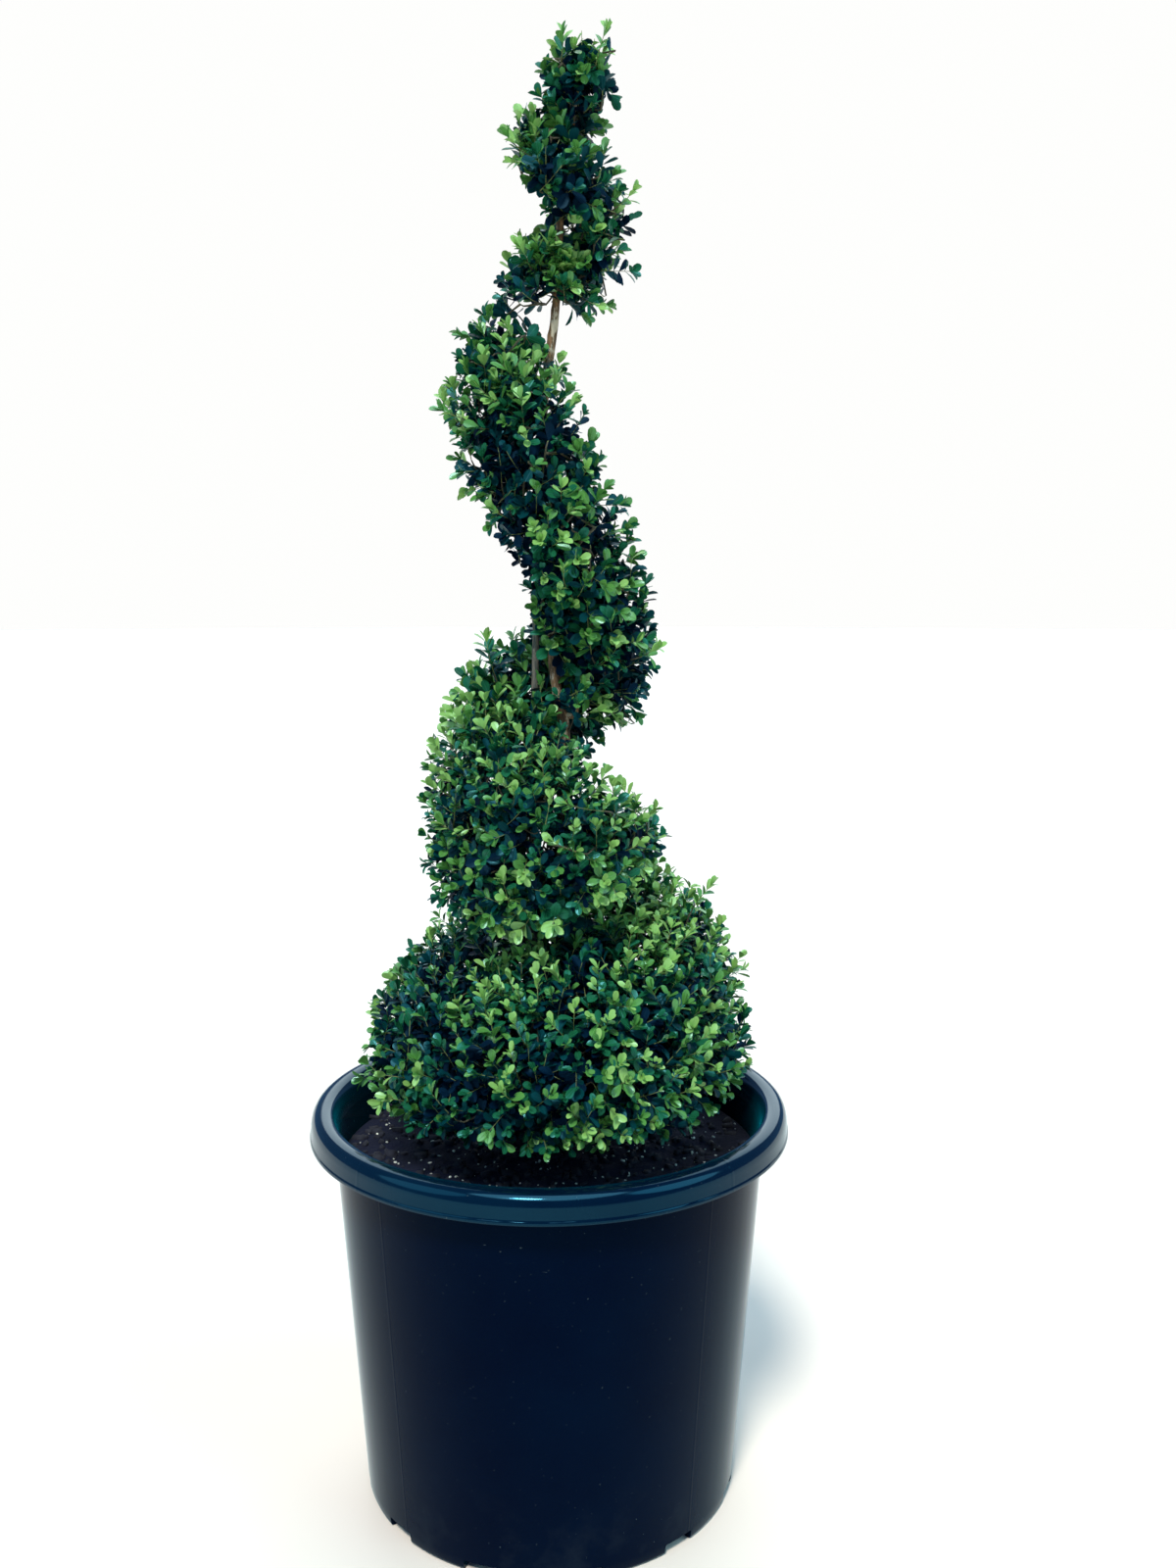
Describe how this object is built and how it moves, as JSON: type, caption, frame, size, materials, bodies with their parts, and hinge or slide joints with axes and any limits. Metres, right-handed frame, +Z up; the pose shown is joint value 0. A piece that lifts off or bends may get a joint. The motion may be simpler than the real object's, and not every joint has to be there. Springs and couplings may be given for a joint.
{
  "type": "potted spiral topiary",
  "caption": "Clipped spiral of small evergreen leaves on a thin trunk, rising from a wide leafy skirt in a round plastic nursery pot.",
  "frame": {"origin": "on the ground, at the middle of the pot's flat underside", "axes": "+Z up along the pot's axis, -Y towards the viewer of the plant's front, +X to the viewer's right"},
  "size_m": [0.45, 0.45, 1.33],
  "materials": {
    "pot": "glossy black nursery plastic with a faint blue-green cast",
    "potting_mix": "dark moist mix with white mineral grains",
    "bark": "thin tan and red-brown bark, speckled, with pale peeled patches",
    "foliage": "small glossy oval leaves, dark inside and bright at the tips"
  },
  "bodies": {
    "root": {"pot": "pot", "potting_mix": "potting_mix", "trunk": "bark", "second_stem": "bark", "knuckle_bough": "bark", "foliage_skirt_1": "foliage", "foliage_skirt_2": "foliage", "foliage_skirt_3": "foliage", "foliage_spiral_01": "foliage", "foliage_spiral_02": "foliage", "foliage_spiral_03": "foliage", "foliage_spiral_04": "foliage", "foliage_spiral_05": "foliage", "foliage_spiral_06": "foliage", "foliage_spiral_07": "foliage", "foliage_spiral_08": "foliage", "foliage_spiral_09": "foliage", "foliage_spiral_10": "foliage", "foliage_tip": "foliage"}
  },
  "joints": []
}
